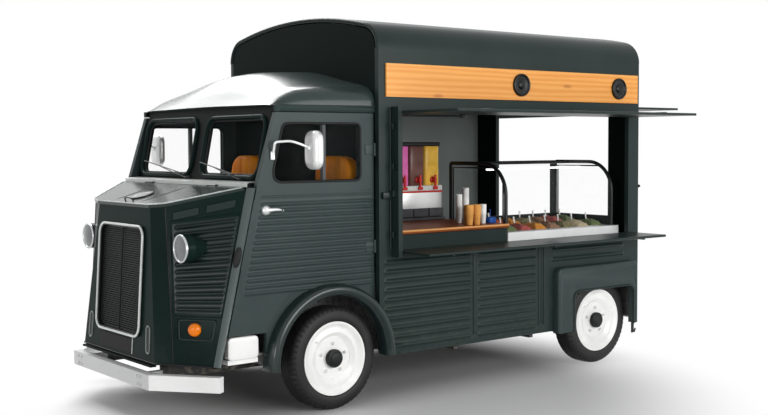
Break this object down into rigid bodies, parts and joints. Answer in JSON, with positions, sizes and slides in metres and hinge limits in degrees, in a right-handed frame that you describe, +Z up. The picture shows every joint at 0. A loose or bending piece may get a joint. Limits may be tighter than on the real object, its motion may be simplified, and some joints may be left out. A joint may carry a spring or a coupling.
{
  "type": "food truck",
  "caption": "Ribbed food truck with a sloping nose, a tall box kitchen, hinged serving and rear flaps, a glass display case and steered front wheels.",
  "frame": {"origin": "middle of the bounding box on the ground, under the wheels", "axes": "+X towards the nose, +Y to the serving side (the truck's left), +Z up"},
  "size_m": [5.025, 2.855, 2.787],
  "materials": {
    "body_green": "gloss",
    "white_paint": "gloss",
    "dark_steel": "matt",
    "engine_iron": "matt",
    "black_trim": "satin",
    "glass": "clear",
    "floor_alu": "brushed",
    "white_panel": "satin",
    "wood": "oiled",
    "stainless": "brushed",
    "chrome": "polished",
    "seat_fabric": "satin",
    "lamp_plastic": "gloss",
    "tyre": "matt"
  },
  "bodies": {
    "body": {"box_floor": "floor_alu", "box_roof": "body_green", "cab_floor": "floor_alu", "cab_roof": "body_green", "cab_shell": "body_green", "cabinets": "white_panel", "chassis_frame": "dark_steel", "counter_top": "wood", "dashboard": "black_trim", "display_base": "stainless", "display_frame": "black_trim", "display_glass": "glass", "drinks_machine": "stainless", "engine": "engine_iron", "exhaust": "dark_steel", "front_axle": "dark_steel", "front_bumper": "white_paint", "front_fenders": "body_green", "front_wall": "body_green", "grille": "black_trim", "headlamps": "body_green", "nose_shell": "body_green", "rear_axle": "dark_steel", "rear_bumper": "white_paint", "rear_fenders": "body_green", "rear_wall": "body_green", "seat_frames": "dark_steel", "seat_pads": "seat_fabric", "serving_jamb": "black_trim", "side_wall_left": "body_green", "side_wall_right": "body_green", "sign_boards": "wood", "sill_panels": "white_paint", "small_lamps": "lamp_plastic", "speakers": "black_trim", "steering_wheel": "black_trim", "windscreen": "glass"},
    "knuckle_left": {"knuckle_left": "dark_steel"},
    "wheel_front_left": {"wheel_front_left": "white_paint", "tyre_front_left": "tyre"},
    "wheel_rear_left": {"wheel_rear_left": "white_paint", "tyre_rear_left": "tyre"},
    "door_left": {"door_left": "body_green", "door_glass_left": "glass", "mirror_left": "chrome"},
    "knuckle_right": {"knuckle_right": "dark_steel"},
    "wheel_front_right": {"wheel_front_right": "white_paint", "tyre_front_right": "tyre"},
    "wheel_rear_right": {"wheel_rear_right": "white_paint", "tyre_rear_right": "tyre"},
    "door_right": {"door_right": "body_green", "door_glass_right": "glass", "mirror_right": "chrome"},
    "hood": {"hood": "body_green"},
    "serving_flap": {"serving_flap": "body_green"},
    "serving_shelf": {"serving_shelf": "body_green"},
    "rear_hatch": {"rear_hatch": "body_green"},
    "rear_shelf": {"rear_shelf": "body_green"},
    "staff_door": {"staff_door": "body_green"}
  },
  "joints": [
    {"name": "steer_left", "type": "hinge", "parent": "body", "child": "knuckle_left", "pos_m": [1.2725, 0.5875, 0.36008], "axis": [0, 0, 1], "range_deg": [-28, 28]},
    {"name": "spin_front_left", "type": "hinge", "parent": "knuckle_left", "child": "wheel_front_left", "pos_m": [1.2725, 0.6475, 0.36008], "axis": [0, 1, 0], "continuous": true},
    {"name": "spin_rear_left", "type": "hinge", "parent": "body", "child": "wheel_rear_left", "pos_m": [-1.4275, 0.6475, 0.36008], "axis": [0, 1, 0], "continuous": true},
    {"name": "door_left_hinge", "type": "hinge", "parent": "body", "child": "door_left", "pos_m": [0.9326, 0.7495, 1.40008], "axis": [0, 0, 1], "range_deg": [0, 70]},
    {"name": "steer_right", "type": "hinge", "parent": "body", "child": "knuckle_right", "pos_m": [1.2725, -1.0125, 0.36008], "axis": [0, 0, 1], "range_deg": [-28, 28]},
    {"name": "spin_front_right", "type": "hinge", "parent": "knuckle_right", "child": "wheel_front_right", "pos_m": [1.2725, -1.0725, 0.36008], "axis": [0, 1, 0], "continuous": true},
    {"name": "spin_rear_right", "type": "hinge", "parent": "body", "child": "wheel_rear_right", "pos_m": [-1.4275, -1.0725, 0.36008], "axis": [0, 1, 0], "continuous": true},
    {"name": "door_right_hinge", "type": "hinge", "parent": "body", "child": "door_right", "pos_m": [0.9326, -1.1745, 1.40008], "axis": [0, 0, -1], "range_deg": [0, 70]},
    {"name": "hood_hinge", "type": "hinge", "parent": "body", "child": "hood", "pos_m": [1.9535, -0.2125, 1.56308], "axis": [0, -1, 0], "range_deg": [0, 50]},
    {"name": "serving_flap_hinge", "type": "hinge", "parent": "body", "child": "serving_flap", "pos_m": [-0.4875, 0.8025, 2.06308], "axis": [-1, 0, 0], "range_deg": [0, 90]},
    {"name": "serving_shelf_hinge", "type": "hinge", "parent": "body", "child": "serving_shelf", "pos_m": [-0.4875, 0.8025, 1.07208], "axis": [1, 0, 0], "range_deg": [0, 90]},
    {"name": "rear_hatch_hinge", "type": "hinge", "parent": "body", "child": "rear_hatch", "pos_m": [-1.8925, -0.2125, 2.13608], "axis": [0, -1, 0], "range_deg": [0, 90]},
    {"name": "rear_shelf_hinge", "type": "hinge", "parent": "body", "child": "rear_shelf", "pos_m": [-1.8925, -0.2125, 1.08108], "axis": [0, 1, 0], "range_deg": [0, 180]},
    {"name": "staff_door_hinge", "type": "hinge", "parent": "body", "child": "staff_door", "pos_m": [-0.1325, -1.222, 1.20008], "axis": [0, 0, 1], "range_deg": [0, 100]}
  ],
  "couplings": [
    {"joint": "steer_right", "follows": "steer_left", "ratio": 1}
  ]
}
